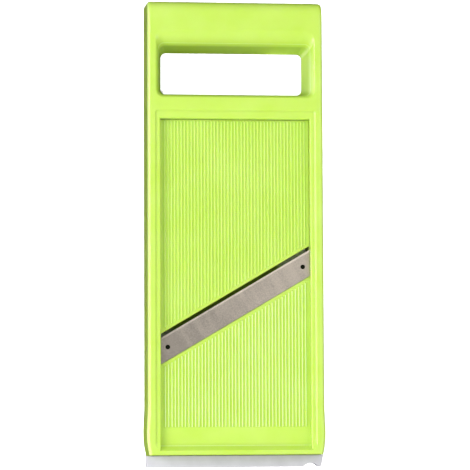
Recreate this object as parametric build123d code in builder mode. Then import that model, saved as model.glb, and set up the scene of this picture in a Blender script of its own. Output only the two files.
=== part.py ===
"""Mandoline slicer with a handle opening, a fixed diagonal blade and a feed table that lifts.

Millimetres, +Z up. The slicer stands on its rubber foot and pads at z = 0. X runs across the
rails, Y runs from the end foot to the handle, and the origin is the middle of the footprint.
The feed table slides on four guide pins. A knob under it turns a captive 6 mm lead screw in
the frame's bridge, which lowers the table for thicker slices.
"""
from build123d import *
import os
from math import cos, floor, radians, sin, sqrt, tan

os.makedirs("parts", exist_ok=True)

# ---- body -------------------------------------------------------------------------------
body_width = 121.5  # over the lower rim of the side walls, where they are straight
body_length = 310.75  # end wall to handle end, over the lower rim
rail_top = 30.0  # rail tops above the worktop
ground_gap = 2.0  # lower rim above the worktop
side_draft = 1.5  # degrees, outer walls lean in towards the top
wall = 2.8
rim_radius = 2.5  # rounding of the rail tops and of the upright corners at the handle
end_flare = 0.7  # how far each side wall swells out near the end wall
end_flare_start = 34.0  # end wall to where the swelling starts
end_flare_peak = 15.0  # end wall to where the body is widest
end_curve_radius = 60.0  # of the curve by which each side draws in towards the end wall
end_cut_margin = 5.0  # how far the outline runs on past the end wall before it is cut off
end_rim_radius = 1.2  # rounding of the end band above the foot
foot_reach = 7.8  # how far the rubber foot stands out past the end wall

# ---- recess that the food slides in -----------------------------------------------------
rail_width = 9.55  # lower rim of the side wall to the recess at the deck
recess_depth = 5.8  # rail tops to the deck
recess_lean = 0.15  # how much wider each side of the recess is below its chamfer
lip_chamfer = 0.6  # along the lip's inner edge
end_band_width = 7.2  # end wall to the deck
end_ramp_length = 3.4  # slope from the deck up to the flat of the end band
lip_drop = 1.0  # lip below the rail tops
lip_width = 2.05  # flat of the lip beside the recess
lip_slope = 1.2  # sloped step between lip and rail top
lip_run_out = 2.6  # deck's front edge to where the lip starts to rise into the end band
band_lip_width = 4.15  # flat of the lip on the cross band
recess_end_radius = 3.5
deck_thickness = 3.0

# ---- handle -----------------------------------------------------------------------------
cross_band_width = 16.3  # recess to handle opening
opening_length = 35.7  # along Y at the top, without the rounding at the bar
opening_side_width = 8.1  # lower rim of the side wall to the opening at the top
opening_from_end = 65.25  # handle's end to the near edge of the opening
opening_draft = 7.1  # degrees
opening_corner_radius = 3.8
opening_rim_radius = 2.2
bar_outer_radius = 8.0
bar_inner_radius = 9.0
mouth_steps = 6  # outlines that the opening's rounding is drawn through
mouth_turn = 84.0  # degrees, how far the rounding turns before it meets the rail tops
handle_shell_top = 26.0  # ceiling of the hollow under the handle

# ---- ribs -------------------------------------------------------------------------------
rib_pitch = 2.288
rib_side_gap = 2.7  # outermost rib to the side of the table
rib_height = 0.8
rib_width = 1.25  # at the foot of a rib
rib_draft = 20.0  # degrees
rib_root = 0.2  # how deep a rib's foot is sunk in its plate
rib_end_gap = 2.0  # plain strip between rib ends and the blade or slit
smooth_end_length = 12.1  # plain stretch of deck at the end band

# ---- blade ------------------------------------------------------------------------------
blade_angle = 30.5  # degrees from X
blade_width = 15.3
blade_thickness = 1.2
blade_middle = 101.05  # middle of the blade from the end wall, on the centre line
blade_hole_inset = 4.9  # recess wall to hole
blade_hole_radius = 1.6
blade_end_gap = 0.2  # blade ends to the recess walls
blade_seat_gap = 0.3
blade_overhang = 3.6  # cutting edge past the deck's edge
bevel_width = 3.2  # ground underside of the edge
edge_flat_width = 1.2  # honed strip on top of the edge
edge_flat_drop = 0.35
edge_thickness = 0.08
deck_edge_chamfer = 1.8

# ---- feed table -------------------------------------------------------------------------
slit_width = 2.35  # cutting edge to table, square to the edge
thinnest_slice = 1.0
table_travel = 4.5
table_thickness = 2.4
table_side_gap = 0.25
table_rear_gap = 0.25
table_edge_radius = 0.6

# ---- guides and adjuster ----------------------------------------------------------------
running_gap = 0.05
stop_gap = 0.2  # left under the table when it is fully down
guide_inset = 7.7  # recess wall to guide pin
guide_front_inset = 17.0  # slit to front guide pins
guide_rear_inset = 15.0  # rear of the table to rear guide pins
guide_pin_radius = 1.5
boss_radius = 4.0
guide_lug_height = 7.1
guide_pin_seat = 3.2  # length of pin pressed into the table
adjuster_setback = 6.0  # in front of the middle of the table
bridge_width = 14.0
bridge_thickness = 3.5
bridge_rib_depth = 4.0
bridge_rib_gap = 3.0  # knob to the ribs under the bridge
screw_radius = 3.0
bush_wall = 2.0
neck_radius = 2.0
head_rim = 0.4  # screw head past the screw
head_thickness = 1.0
head_play = 0.06
washer_thickness = 0.5
washer_rim = 0.3  # washer past the head
washer_hole_radius = 1.6
pocket_gap = 0.3  # around the washer
retainer_thickness = 1.2
retainer_length = 30.0
retainer_width = 10.0
retainer_corner_radius = 2.0
retainer_screw_spacing = 22.0
table_pad_drop = 0.8  # pad under the table that the retainer plate lies on
pad_margin = 1.5
low_clearance = 0.8  # lowest moving piece above the worktop with the table down
knob_radius = 14.0
knob_gap = 0.3  # knob to bridge
knob_flutes = 24
knob_flute_radius = 1.0
knob_web = 0.8  # floor of the knob between its screw's head and the adjuster screw
knob_screw_recess = 0.1
knob_screw_grip = 5.0

# ---- stiffening ribs on the undersides --------------------------------------------------
under_rib_width = 1.8
under_rib_count = 3
under_rib_spacing = 16.0
under_rib_depth = 5.0
under_rib_margin = 6.0  # rib ends to the table's edges
under_table_rib_x = 24.0
under_table_rib_depth = 1.6

# ---- small fasteners --------------------------------------------------------------------
m3_radius = 1.5
m3_head_radius = 2.75
m3_head_height = 1.9
m25_radius = 1.25
m25_head_radius = 2.3
m25_head_height = 1.5
m25_length = 2.3
blade_boss_height = 5.2
blade_screw_drop = 0.5  # screw tips below the top of the blade
screw_cavity_gap = 0.1
hole_gap = 0.1
drive_radius = 1.1
drive_depth = 0.8

# ---- rubber parts -----------------------------------------------------------------------
foot_height = 12.0
foot_inner_lip = 3.2
foot_lip_height = 8.0
foot_lip_gap = 0.3
foot_corner_radius = 0.8
foot_notch_inset = 8.65  # right end to the middle of the notch
foot_notch_width = 10.4
foot_notch_depth = 2.5
foot_end_slant = 1.7  # how much the right end draws in towards the front
foot_side_inset = 1.1  # side wall to the foot's left end
foot_side_reach = 0.65  # foot's right end past the side wall
pad_radius = 6.0
pad_side_inset = 10.75
pad_end_inset = 11.5
pad_stem_radius = 2.5
pad_stem_length = 5.0
pad_boss_radius = 5.5

# ---- places worked out from the sizes ----------------------------------------------------
end_y = foot_reach - (body_length + foot_reach) / 2
handle_y = end_y + body_length
half_width = body_width / 2
body_lean = (rail_top - ground_gap) * tan(radians(side_draft))
recess_half_width = half_width - rail_width
opening_half_width = half_width - opening_side_width
opening_front_y = handle_y - opening_from_end
opening_rear_y = opening_front_y + opening_length
recess_front_y = end_y + end_band_width
recess_rear_y = opening_front_y - cross_band_width
pad_x = half_width - pad_side_inset
pad_y = handle_y - pad_end_inset

lip_z = rail_top - lip_drop
deck_top = rail_top - recess_depth
deck_rib_top = deck_top + rib_height
deck_bottom = deck_top - deck_thickness
blade_z = deck_rib_top - blade_thickness
table_top = deck_top - thinnest_slice
table_bottom = table_top - table_thickness

blade_y = end_y + blade_middle
blade_hole_x = recess_half_width - blade_hole_inset
blade_half_length = recess_half_width - blade_end_gap
deck_edge_offset = blade_width / 2 - blade_overhang
seat_half_width = blade_width / 2 + blade_seat_gap
table_edge_offset = blade_width / 2 + slit_width
table_half_width = recess_half_width - table_side_gap
table_rear_y = recess_rear_y - table_rear_gap
ribs_each_side = floor((table_half_width - rib_side_gap) / rib_pitch)


def slant_y(x, square_offset):
    """Y of the line parallel to the blade that lies square_offset in front of its middle."""
    return blade_y + x * tan(radians(blade_angle)) + square_offset / cos(radians(blade_angle))


blade_holes = {
    "left": (-blade_hole_x, slant_y(-blade_hole_x, 0)),
    "right": (blade_hole_x, slant_y(blade_hole_x, 0)),
}
guide_x = recess_half_width - guide_inset
guide_places = {
    "front_left": (-guide_x, slant_y(-guide_x, table_edge_offset) + guide_front_inset),
    "front_right": (guide_x, slant_y(guide_x, table_edge_offset) + guide_front_inset),
    "rear_left": (-guide_x, table_rear_y - guide_rear_inset),
    "rear_right": (guide_x, table_rear_y - guide_rear_inset),
}
adjuster_y = (slant_y(0, table_edge_offset) + table_rear_y) / 2 - adjuster_setback

# the adjuster's stack, from the table down to the knob
retainer_top = table_bottom - table_pad_drop
retainer_bottom = retainer_top - retainer_thickness
head_bottom = retainer_top + head_play
head_top = head_bottom + head_thickness
washer_bottom = head_top + head_play
washer_top = washer_bottom + washer_thickness
head_radius = screw_radius + head_rim
washer_radius = head_radius + washer_rim
lug_top = retainer_bottom - table_travel - stop_gap
bridge_bottom = lug_top - bridge_thickness
knob_top = bridge_bottom - knob_gap
knob_bottom = table_travel + low_clearance
screw_bottom = knob_bottom + knob_screw_recess + m3_head_height + knob_web
bush_radius = screw_radius + bush_wall


def plan_at(z, half_x, y_front, y_rear, corner_radius):
    """Flat outline at height z with rounded corners."""
    with BuildSketch(Plane.XY.offset(z)) as plan:
        with Locations((0, (y_front + y_rear) / 2)):
            RectangleRounded(2 * half_x, y_rear - y_front, corner_radius)
    return plan.sketch


def block_plan(z, half_x, y_front, y_rear):
    """Flat rectangle at height z."""
    with BuildSketch(Plane.XY.offset(z)) as plan:
        with Locations((0, (y_front + y_rear) / 2)):
            Rectangle(2 * half_x, y_rear - y_front)
    return plan.sketch


def body_plan(z, lean):
    """Outline of the body at height z, drawn in by lean: straight sides that swell, then curve in."""
    half_x, rear = half_width - lean, handle_y - lean
    front = end_y - end_cut_margin
    reach = end_flare_peak + end_cut_margin
    corner_x = half_x + end_flare - end_curve_radius + sqrt(end_curve_radius**2 - reach**2)
    with BuildSketch(Plane.XY.offset(z)) as plan:
        with BuildLine():
            Line((-half_x, rear), (half_x, rear))
            Line((-corner_x, front), (corner_x, front))
            for side in (-1, 1):
                straight_end = (side * half_x, end_y + end_flare_start)
                widest = (side * (half_x + end_flare), end_y + end_flare_peak)
                Line((side * half_x, rear), straight_end)
                Spline(straight_end, widest, tangents=((0, -1), (0, -1)))
                TangentArc(widest, (side * corner_x, front), tangent=(0, -1))
        make_face()
    return plan.sketch


def ramp_y(z):
    """Y of the slope that joins the deck to the end band, at height z."""
    return recess_front_y - end_ramp_length * (z - deck_top) / recess_depth


def opening_plan(z, rim=0.0, bar=0.0):
    """Outline of the handle opening at height z, grown by rim, and by bar on the bar's side."""
    lean = (rail_top - z) * tan(radians(opening_draft))
    return plan_at(
        z,
        opening_half_width - lean + rim,
        opening_front_y + lean - rim,
        opening_rear_y - lean + bar,
        opening_corner_radius + rim,
    )


def opening_mouth():
    """Outlines that round the opening over: gently at the rails, in a wide curve at the bar."""
    plans = []
    for step in range(mouth_steps + 1):
        turn = radians(mouth_turn * step / mouth_steps)
        rise = sin(turn) / sin(radians(mouth_turn))
        spread = (1 - cos(turn)) / (1 - cos(radians(mouth_turn)))
        plans.append(
            opening_plan(
                rail_top - bar_inner_radius * (1 - rise),
                rim=opening_rim_radius * spread,
                bar=bar_inner_radius * spread,
            )
        )
    return plans


def rib_slots(z, front_of, rear_of):
    """Feet of the ribs on a plane at height z, each between its own two ends."""
    with BuildSketch(Plane.XY.offset(z)) as slots:
        for i in range(-ribs_each_side, ribs_each_side + 1):
            x = i * rib_pitch
            front, rear = front_of(x), rear_of(x)
            with Locations((x, (front + rear) / 2)):
                SlotOverall(rear - front, rib_width, rotation=90)
    return slots.sketch


def cylinder_between(x, y, radius, low, high, mode=Mode.ADD):
    """Upright cylinder from height low to height high."""
    with Locations((x, y, (low + high) / 2)):
        Cylinder(radius, high - low, mode=mode)


def box_between(low, high, mode=Mode.ADD):
    """Box with its lowest and highest corners given."""
    middle = [(a + b) / 2 for a, b in zip(low, high)]
    with Locations(tuple(middle)):
        Box(*[b - a for a, b in zip(low, high)], mode=mode)


def finish(builder, name):
    """Names a finished piece and writes its file."""
    builder.part.label = name
    export_step(builder.part, f"parts/{name}.step")


# ---- frame: one moulding with rails, deck, handle, bridge and guide lugs --------------------
recess_top_half = recess_half_width + recess_lean + lip_chamfer
wall_inner_x = recess_half_width + wall
channel_outer_x = half_width - wall

with BuildPart() as frame:
    # outer shape: drafted walls, wide rounding at the handle's end, small rims elsewhere
    loft([body_plan(ground_gap, 0), body_plan(rail_top, body_lean)], ruled=True)
    top_face = frame.faces().sort_by(Axis.Z)[-1]
    fillet(top_face.edges().sort_by(Axis.Y)[-1], bar_outer_radius)
    rear_uprights = frame.edges().group_by(Axis.Y)[-1].filter_by(
        lambda e: abs(e.center().X) > half_width - rim_radius
    )
    rim_edges = frame.edges().filter_by(
        lambda e: abs(e.center().X) > half_width - rim_radius
        and e.center().Y > end_y
        and e.bounding_box().min.Z > handle_shell_top - rim_radius
    )
    fillet(rear_uprights + rim_edges, rim_radius)
    with BuildSketch(Plane.YZ) as side_view:
        Polygon(
            (end_y, ground_gap),
            (end_y + body_lean, rail_top),
            (handle_y, rail_top),
            (handle_y, ground_gap),
            align=None,
        )
        fillet(side_view.vertices().group_by(Axis.Y)[-1].sort_by(Axis.X)[0], end_rim_radius)
    extrude(amount=body_width, both=True, mode=Mode.INTERSECT)

    # handle opening
    loft(
        [opening_plan(0), opening_plan(rail_top - bar_inner_radius)],
        ruled=True,
        mode=Mode.SUBTRACT,
    )
    loft(opening_mouth(), mode=Mode.SUBTRACT)

    # sloped step and lip around the recess, running out at the end band
    step_half = recess_top_half + lip_width
    recess_top_rear_y = recess_rear_y + recess_lean + lip_chamfer
    lip_rear_y = recess_top_rear_y + band_lip_width
    loft(
        [
            plan_at(lip_z, step_half, recess_front_y + lip_run_out, lip_rear_y, lip_slope),
            plan_at(
                rail_top,
                step_half + lip_slope,
                recess_front_y - end_ramp_length / 2,
                lip_rear_y + lip_slope,
                2 * lip_slope,
            ),
        ],
        ruled=True,
        mode=Mode.SUBTRACT,
    )

    # recess down to the deck, with a chamfer along the lip but not along the end band
    loft(
        [
            block_plan(deck_top, recess_half_width, recess_front_y, recess_rear_y),
            block_plan(
                lip_z - lip_chamfer,
                recess_half_width + recess_lean,
                ramp_y(lip_z - lip_chamfer),
                recess_rear_y + recess_lean,
            ),
            block_plan(lip_z, recess_top_half, ramp_y(lip_z), recess_top_rear_y),
            block_plan(rail_top, recess_top_half, ramp_y(rail_top), recess_top_rear_y),
        ],
        ruled=True,
        mode=Mode.SUBTRACT,
    )
    deck_edges = frame.edges().filter_by(Axis.X).filter_by_position(
        Axis.Z, deck_top - 0.1, deck_top + 0.1
    )
    fillet(deck_edges.sort_by(Axis.Y)[0], recess_end_radius)

    # well for the feed table, right through, from the deck's edge to the cross band
    with BuildSketch(Plane.XY.offset(ground_gap)) as well:
        Polygon(
            (-recess_half_width, slant_y(-recess_half_width, deck_edge_offset)),
            (recess_half_width, slant_y(recess_half_width, deck_edge_offset)),
            (recess_half_width, recess_rear_y),
            (-recess_half_width, recess_rear_y),
            align=None,
        )
    extrude(amount=rail_top, mode=Mode.SUBTRACT)

    # hollow under the deck
    with BuildSketch(Plane.XY.offset(ground_gap)) as under_deck:
        Polygon(
            (-recess_half_width, end_y + wall),
            (recess_half_width, end_y + wall),
            (recess_half_width, slant_y(recess_half_width, blade_width)),
            (-recess_half_width, slant_y(-recess_half_width, blade_width)),
            align=None,
        )
    extrude(amount=deck_bottom - ground_gap, mode=Mode.SUBTRACT)

    # hollow rails
    for side in (-1, 1):
        rail_x = sorted((side * wall_inner_x, side * channel_outer_x))
        box_between(
            (rail_x[0], end_y + wall, 0),
            (rail_x[1], recess_rear_y, rail_top - wall),
            mode=Mode.SUBTRACT,
        )

    # hollow handle: everything but a wall around the opening
    with BuildPart(mode=Mode.PRIVATE) as handle_hollow:
        box_between(
            (-channel_outer_x, recess_rear_y + wall, 0),
            (channel_outer_x, handle_y - wall, handle_shell_top),
        )
        rear_top = handle_hollow.edges().group_by(Axis.Z)[-1].sort_by(Axis.Y)[-1]
        fillet(rear_top, bar_outer_radius - wall)
        loft(
            [
                opening_plan(0, rim=wall, bar=wall),
                opening_plan(rail_top, rim=wall, bar=wall),
            ],
            ruled=True,
            mode=Mode.SUBTRACT,
        )
        for side in (-1, 1):
            cylinder_between(
                side * pad_x,
                pad_y,
                pad_boss_radius,
                0,
                handle_shell_top,
                mode=Mode.SUBTRACT,
            )
    add(handle_hollow.part, mode=Mode.SUBTRACT)

    # ledge under the blade: seat, chamfered edge and screw bosses
    with BuildSketch(Plane.XY.offset(blade_z)) as seat:
        Polygon(
            (-recess_half_width, slant_y(-recess_half_width, -seat_half_width)),
            (recess_half_width, slant_y(recess_half_width, -seat_half_width)),
            (recess_half_width, slant_y(recess_half_width, seat_half_width)),
            (-recess_half_width, slant_y(-recess_half_width, seat_half_width)),
            align=None,
        )
    extrude(amount=rail_top - blade_z - lip_drop, mode=Mode.SUBTRACT)
    slant_edges = [
        e
        for e in frame.edges()
        if abs(e.center().Z - deck_bottom) < 0.01
        and abs(e.center().Y - slant_y(0, deck_edge_offset)) < 1
        and e.length > recess_half_width
    ]
    chamfer(slant_edges, deck_edge_chamfer)
    boss_low = deck_bottom - blade_boss_height
    for x, y in blade_holes.values():
        cylinder_between(x, y, boss_radius, boss_low, blade_z)
        cylinder_between(x, y, m3_radius + hole_gap, boss_low, blade_z, mode=Mode.SUBTRACT)

    # deck ribs
    rib_front = recess_front_y + smooth_end_length
    add(
        rib_slots(
            deck_top - rib_root,
            lambda x: rib_front,
            lambda x: slant_y(x, -seat_half_width - rib_end_gap),
        )
    )
    extrude(amount=rib_height + rib_root, taper=rib_draft)

    # stiffening ribs under the deck and under the cross band
    for i in range(under_rib_count):
        rib_y = end_y + under_rib_spacing * (i + 1)
        box_between(
            (-recess_half_width, rib_y - under_rib_width / 2, deck_bottom - under_rib_depth),
            (recess_half_width, rib_y + under_rib_width / 2, deck_bottom),
        )

    # bridge for the adjuster, with ribs under it on both sides of the knob
    bridge_end = recess_half_width + wall / 2
    rib_start = knob_radius + bridge_rib_gap
    box_between(
        (-bridge_end, adjuster_y - bridge_width / 2, bridge_bottom),
        (bridge_end, adjuster_y + bridge_width / 2, lug_top),
    )
    for side in (-1, 1):
        rib_x = sorted((side * rib_start, side * bridge_end))
        for rib_y in (adjuster_y - bridge_width / 2, adjuster_y + bridge_width / 2 - under_rib_width):
            box_between(
                (rib_x[0], rib_y, bridge_bottom - bridge_rib_depth),
                (rib_x[1], rib_y + under_rib_width, bridge_bottom),
            )
    cylinder_between(
        0, adjuster_y, bush_radius, bridge_bottom, lug_top, mode=Mode.SUBTRACT
    )

    # guide lugs on the rail walls
    for x, y in guide_places.values():
        side = 1 if x > 0 else -1
        web = sorted((x, side * (recess_half_width + wall / 2)))
        cylinder_between(x, y, boss_radius, lug_top - guide_lug_height, lug_top)
        box_between(
            (web[0], y - boss_radius, lug_top - guide_lug_height),
            (web[1], y + boss_radius, lug_top),
        )
        cylinder_between(
            x,
            y,
            guide_pin_radius + running_gap,
            lug_top - guide_lug_height,
            lug_top,
            mode=Mode.SUBTRACT,
        )

    # pockets for the stems of the rubber pads
    for side in (-1, 1):
        cylinder_between(
            side * pad_x,
            pad_y,
            pad_stem_radius,
            ground_gap,
            ground_gap + pad_stem_length + hole_gap,
            mode=Mode.SUBTRACT,
        )
finish(frame, "frame")

# ---- feed table: ribbed plate that lifts and drops ------------------------------------------
with BuildPart() as feed_table:
    with BuildSketch(Plane.XY.offset(table_bottom)) as plate:
        Polygon(
            (-table_half_width, slant_y(-table_half_width, table_edge_offset)),
            (table_half_width, slant_y(table_half_width, table_edge_offset)),
            (table_half_width, table_rear_y),
            (-table_half_width, table_rear_y),
            align=None,
        )
    extrude(amount=table_thickness)
    slit_edges = [
        e
        for e in feed_table.edges()
        if abs(e.center().X) < 1 and abs(e.center().Y - slant_y(0, table_edge_offset)) < 1
    ]
    fillet(slit_edges, table_edge_radius)
    add(
        rib_slots(
            table_top - rib_root,
            lambda x: slant_y(x, table_edge_offset + rib_end_gap),
            lambda x: table_rear_y - table_edge_radius,
        )
    )
    extrude(amount=rib_height + rib_root, taper=rib_draft)

    # bosses for the guide pins
    for x, y in guide_places.values():
        cylinder_between(x, y, boss_radius, retainer_bottom, table_bottom)
        cylinder_between(
            x, y, guide_pin_radius, retainer_bottom, retainer_bottom + guide_pin_seat, mode=Mode.SUBTRACT
        )

    # pad and pocket for the adjuster's head
    with BuildSketch(Plane.XY.offset(retainer_top)) as pad:
        with Locations((0, adjuster_y)):
            RectangleRounded(
                retainer_width + 2 * pad_margin, retainer_length + 2 * pad_margin, pad_margin
            )
    extrude(amount=table_pad_drop)
    cylinder_between(0, adjuster_y, washer_radius + pocket_gap, retainer_top, washer_top, mode=Mode.SUBTRACT)
    for side in (-1, 1):
        cylinder_between(
            0,
            adjuster_y + side * retainer_screw_spacing / 2,
            m25_radius,
            retainer_top,
            retainer_top + m25_length + screw_cavity_gap,
            mode=Mode.SUBTRACT,
        )

    # stiffening ribs under the plate
    for x in (-under_table_rib_x, under_table_rib_x):
        box_between(
            (
                x - under_rib_width / 2,
                slant_y(x, table_edge_offset) + under_rib_margin,
                table_bottom - under_table_rib_depth,
            ),
            (x + under_rib_width / 2, table_rear_y - under_rib_margin, table_bottom),
        )
finish(feed_table, "feed_table")

# ---- blade: parallelogram with its edge ground from below -----------------------------------
blade_middle_plane = Plane(
    origin=(0, blade_y, 0),
    x_dir=(-sin(radians(blade_angle)), cos(radians(blade_angle)), 0),
    z_dir=(cos(radians(blade_angle)), sin(radians(blade_angle)), 0),
)
with BuildPart() as slicing_blade:
    with BuildSketch(blade_middle_plane) as section:
        edge = blade_width / 2
        Polygon(
            (-edge, blade_z),
            (edge - bevel_width, blade_z),
            (edge, deck_rib_top - edge_flat_drop - edge_thickness),
            (edge, deck_rib_top - edge_flat_drop),
            (edge - edge_flat_width, deck_rib_top),
            (-edge, deck_rib_top),
            align=None,
        )
    extrude(amount=body_width, both=True)
    box_between(
        (-blade_half_length, end_y, 0), (blade_half_length, handle_y, rail_top), mode=Mode.INTERSECT
    )
    for x, y in blade_holes.values():
        cylinder_between(x, y, blade_hole_radius, blade_z, deck_rib_top, mode=Mode.SUBTRACT)
finish(slicing_blade, "slicing_blade")


def driven_screw(name, x, y, shaft_radius, cap_radius, cap_low, cap_height, tip):
    """Pan-head screw pushed up from below, with a hexagon socket in its head."""
    with BuildPart() as screw:
        cylinder_between(x, y, cap_radius, cap_low, cap_low + cap_height)
        fillet(screw.edges().group_by(Axis.Z)[0], cap_height / 3)
        cylinder_between(x, y, shaft_radius, cap_low + cap_height, tip)
        chamfer(screw.edges().group_by(Axis.Z)[-1], shaft_radius / 4)
        with BuildSketch(Plane.XY.offset(cap_low)) as socket:
            with Locations((x, y)):
                RegularPolygon(drive_radius, 6)
        extrude(amount=drive_depth, mode=Mode.SUBTRACT)
    finish(screw, name)


# ---- screws that hold the blade, the retainer plate and the knob ----------------------------
for place, (x, y) in blade_holes.items():
    driven_screw(
        f"blade_screw_{place}",
        x,
        y,
        m3_radius,
        m3_head_radius,
        deck_bottom - blade_boss_height - m3_head_height,
        m3_head_height,
        deck_rib_top - blade_screw_drop,
    )
for place, side in (("front", -1), ("rear", 1)):
    driven_screw(
        f"retainer_screw_{place}",
        0,
        adjuster_y + side * retainer_screw_spacing / 2,
        m25_radius,
        m25_head_radius,
        retainer_bottom - m25_head_height,
        m25_head_height,
        retainer_top + m25_length,
    )
driven_screw(
    "knob_screw",
    0,
    adjuster_y,
    m3_radius,
    m3_head_radius,
    knob_bottom + knob_screw_recess,
    m3_head_height,
    screw_bottom + knob_screw_grip,
)

# ---- adjuster: headed lead screw with a neck for the retainer plate -------------------------
with BuildPart() as adjuster_screw:
    neck_bottom = retainer_bottom - screw_cavity_gap
    cylinder_between(0, adjuster_y, screw_radius, screw_bottom, neck_bottom)
    chamfer(adjuster_screw.edges().group_by(Axis.Z)[0], screw_radius / 6)
    cylinder_between(0, adjuster_y, neck_radius, neck_bottom, head_bottom)
    cylinder_between(0, adjuster_y, head_radius, head_bottom, head_top)
    cylinder_between(
        0,
        adjuster_y,
        m3_radius,
        screw_bottom,
        screw_bottom + knob_screw_grip + screw_cavity_gap,
        mode=Mode.SUBTRACT,
    )
finish(adjuster_screw, "adjuster_screw")

with BuildPart() as adjuster_knob:
    cylinder_between(0, adjuster_y, knob_radius, knob_bottom, knob_top)
    with Locations((0, adjuster_y, (knob_bottom + knob_top) / 2)):
        with PolarLocations(knob_radius + knob_flute_radius / 3, knob_flutes):
            Cylinder(knob_flute_radius, knob_top - knob_bottom, mode=Mode.SUBTRACT)
    rims = adjuster_knob.edges().group_by(Axis.Z)
    chamfer(rims[0] + rims[-1], knob_flute_radius / 3)
    cylinder_between(
        0, adjuster_y, screw_radius, screw_bottom, knob_top, mode=Mode.SUBTRACT
    )
    cylinder_between(
        0, adjuster_y, m3_radius + hole_gap, knob_bottom, screw_bottom, mode=Mode.SUBTRACT
    )
    cylinder_between(
        0,
        adjuster_y,
        m3_head_radius + hole_gap,
        knob_bottom,
        knob_bottom + knob_screw_recess + m3_head_height,
        mode=Mode.SUBTRACT,
    )
finish(adjuster_knob, "adjuster_knob")

with BuildPart() as bridge_bush:
    cylinder_between(0, adjuster_y, bush_radius, bridge_bottom, lug_top)
    cylinder_between(
        0, adjuster_y, screw_radius + running_gap, bridge_bottom, lug_top, mode=Mode.SUBTRACT
    )
finish(bridge_bush, "bridge_bush")

with BuildPart() as retainer_plate:
    with BuildSketch(Plane.XY.offset(retainer_bottom)) as retainer_outline:
        with Locations((0, adjuster_y)):
            RectangleRounded(retainer_width, retainer_length, retainer_corner_radius)
            Circle(neck_radius + hole_gap, mode=Mode.SUBTRACT)
        with Locations((retainer_width / 2, adjuster_y)):
            Rectangle(retainer_width, 2 * (neck_radius + hole_gap), mode=Mode.SUBTRACT)
        with Locations(
            (0, adjuster_y - retainer_screw_spacing / 2),
            (0, adjuster_y + retainer_screw_spacing / 2),
        ):
            Circle(m25_radius + hole_gap, mode=Mode.SUBTRACT)
    extrude(amount=retainer_thickness)
finish(retainer_plate, "retainer_plate")

with BuildPart() as thrust_washer:
    cylinder_between(0, adjuster_y, washer_radius, washer_bottom, washer_top)
    cylinder_between(
        0, adjuster_y, washer_hole_radius, washer_bottom, washer_top, mode=Mode.SUBTRACT
    )
finish(thrust_washer, "thrust_washer")

for place, (x, y) in guide_places.items():
    with BuildPart() as guide_pin:
        cylinder_between(x, y, guide_pin_radius, knob_bottom, retainer_bottom + guide_pin_seat)
        chamfer(guide_pin.edges().group_by(Axis.Z)[0], guide_pin_radius / 4)
    finish(guide_pin, f"guide_pin_{place}")

# ---- rubber foot, pushed up over the end wall -----------------------------------------------
foot_left_x = foot_side_inset - half_width
foot_right_x = half_width + foot_side_reach
foot_front_y = end_y - foot_reach
foot_rear_y = end_y + wall + foot_inner_lip
with BuildPart() as end_foot:
    with BuildSketch(Plane.XY) as foot_outline:
        Polygon(
            (foot_left_x, foot_front_y),
            (foot_right_x - foot_end_slant, foot_front_y),
            (foot_right_x, end_y),
            (foot_left_x, end_y),
            align=None,
        )
        front_corners = foot_outline.vertices().group_by(Axis.Y)[0]
        fillet(front_corners.sort_by(Axis.X)[0], 2 * foot_corner_radius)
        fillet(front_corners.sort_by(Axis.X)[-1], foot_corner_radius)
        notch_radius = (foot_notch_width**2 / 4 + foot_notch_depth**2) / (2 * foot_notch_depth)
        with Locations((foot_right_x - foot_notch_inset, foot_front_y + foot_notch_depth - notch_radius)):
            Circle(notch_radius, mode=Mode.SUBTRACT)
    extrude(amount=foot_height)
    foot_top = end_foot.faces().sort_by(Axis.Z)[-1].edges().sort_by(Axis.Y)
    fillet(foot_top[:-1], foot_corner_radius)
    box_between((foot_left_x, end_y, 0), (foot_right_x, foot_rear_y, ground_gap))
    lip_half = recess_half_width - foot_lip_gap
    box_between((-lip_half, end_y + wall, 0), (lip_half, foot_rear_y, foot_lip_height))
finish(end_foot, "end_foot")

# ---- rubber pads under the handle -----------------------------------------------------------
for place, side in (("left", -1), ("right", 1)):
    with BuildPart() as handle_pad:
        x, y = side * pad_x, pad_y
        cylinder_between(x, y, pad_radius, 0, ground_gap)
        fillet(handle_pad.edges().group_by(Axis.Z)[0], foot_corner_radius)
        cylinder_between(x, y, pad_stem_radius, ground_gap, ground_gap + pad_stem_length)
    finish(handle_pad, f"handle_pad_{place}")
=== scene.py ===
"""Mandoline slicer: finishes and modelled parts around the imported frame, laid out as an add-on."""
from math import asin, atan, cos, pi, radians, sin

import bpy
from mathutils import Matrix, Vector


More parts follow.
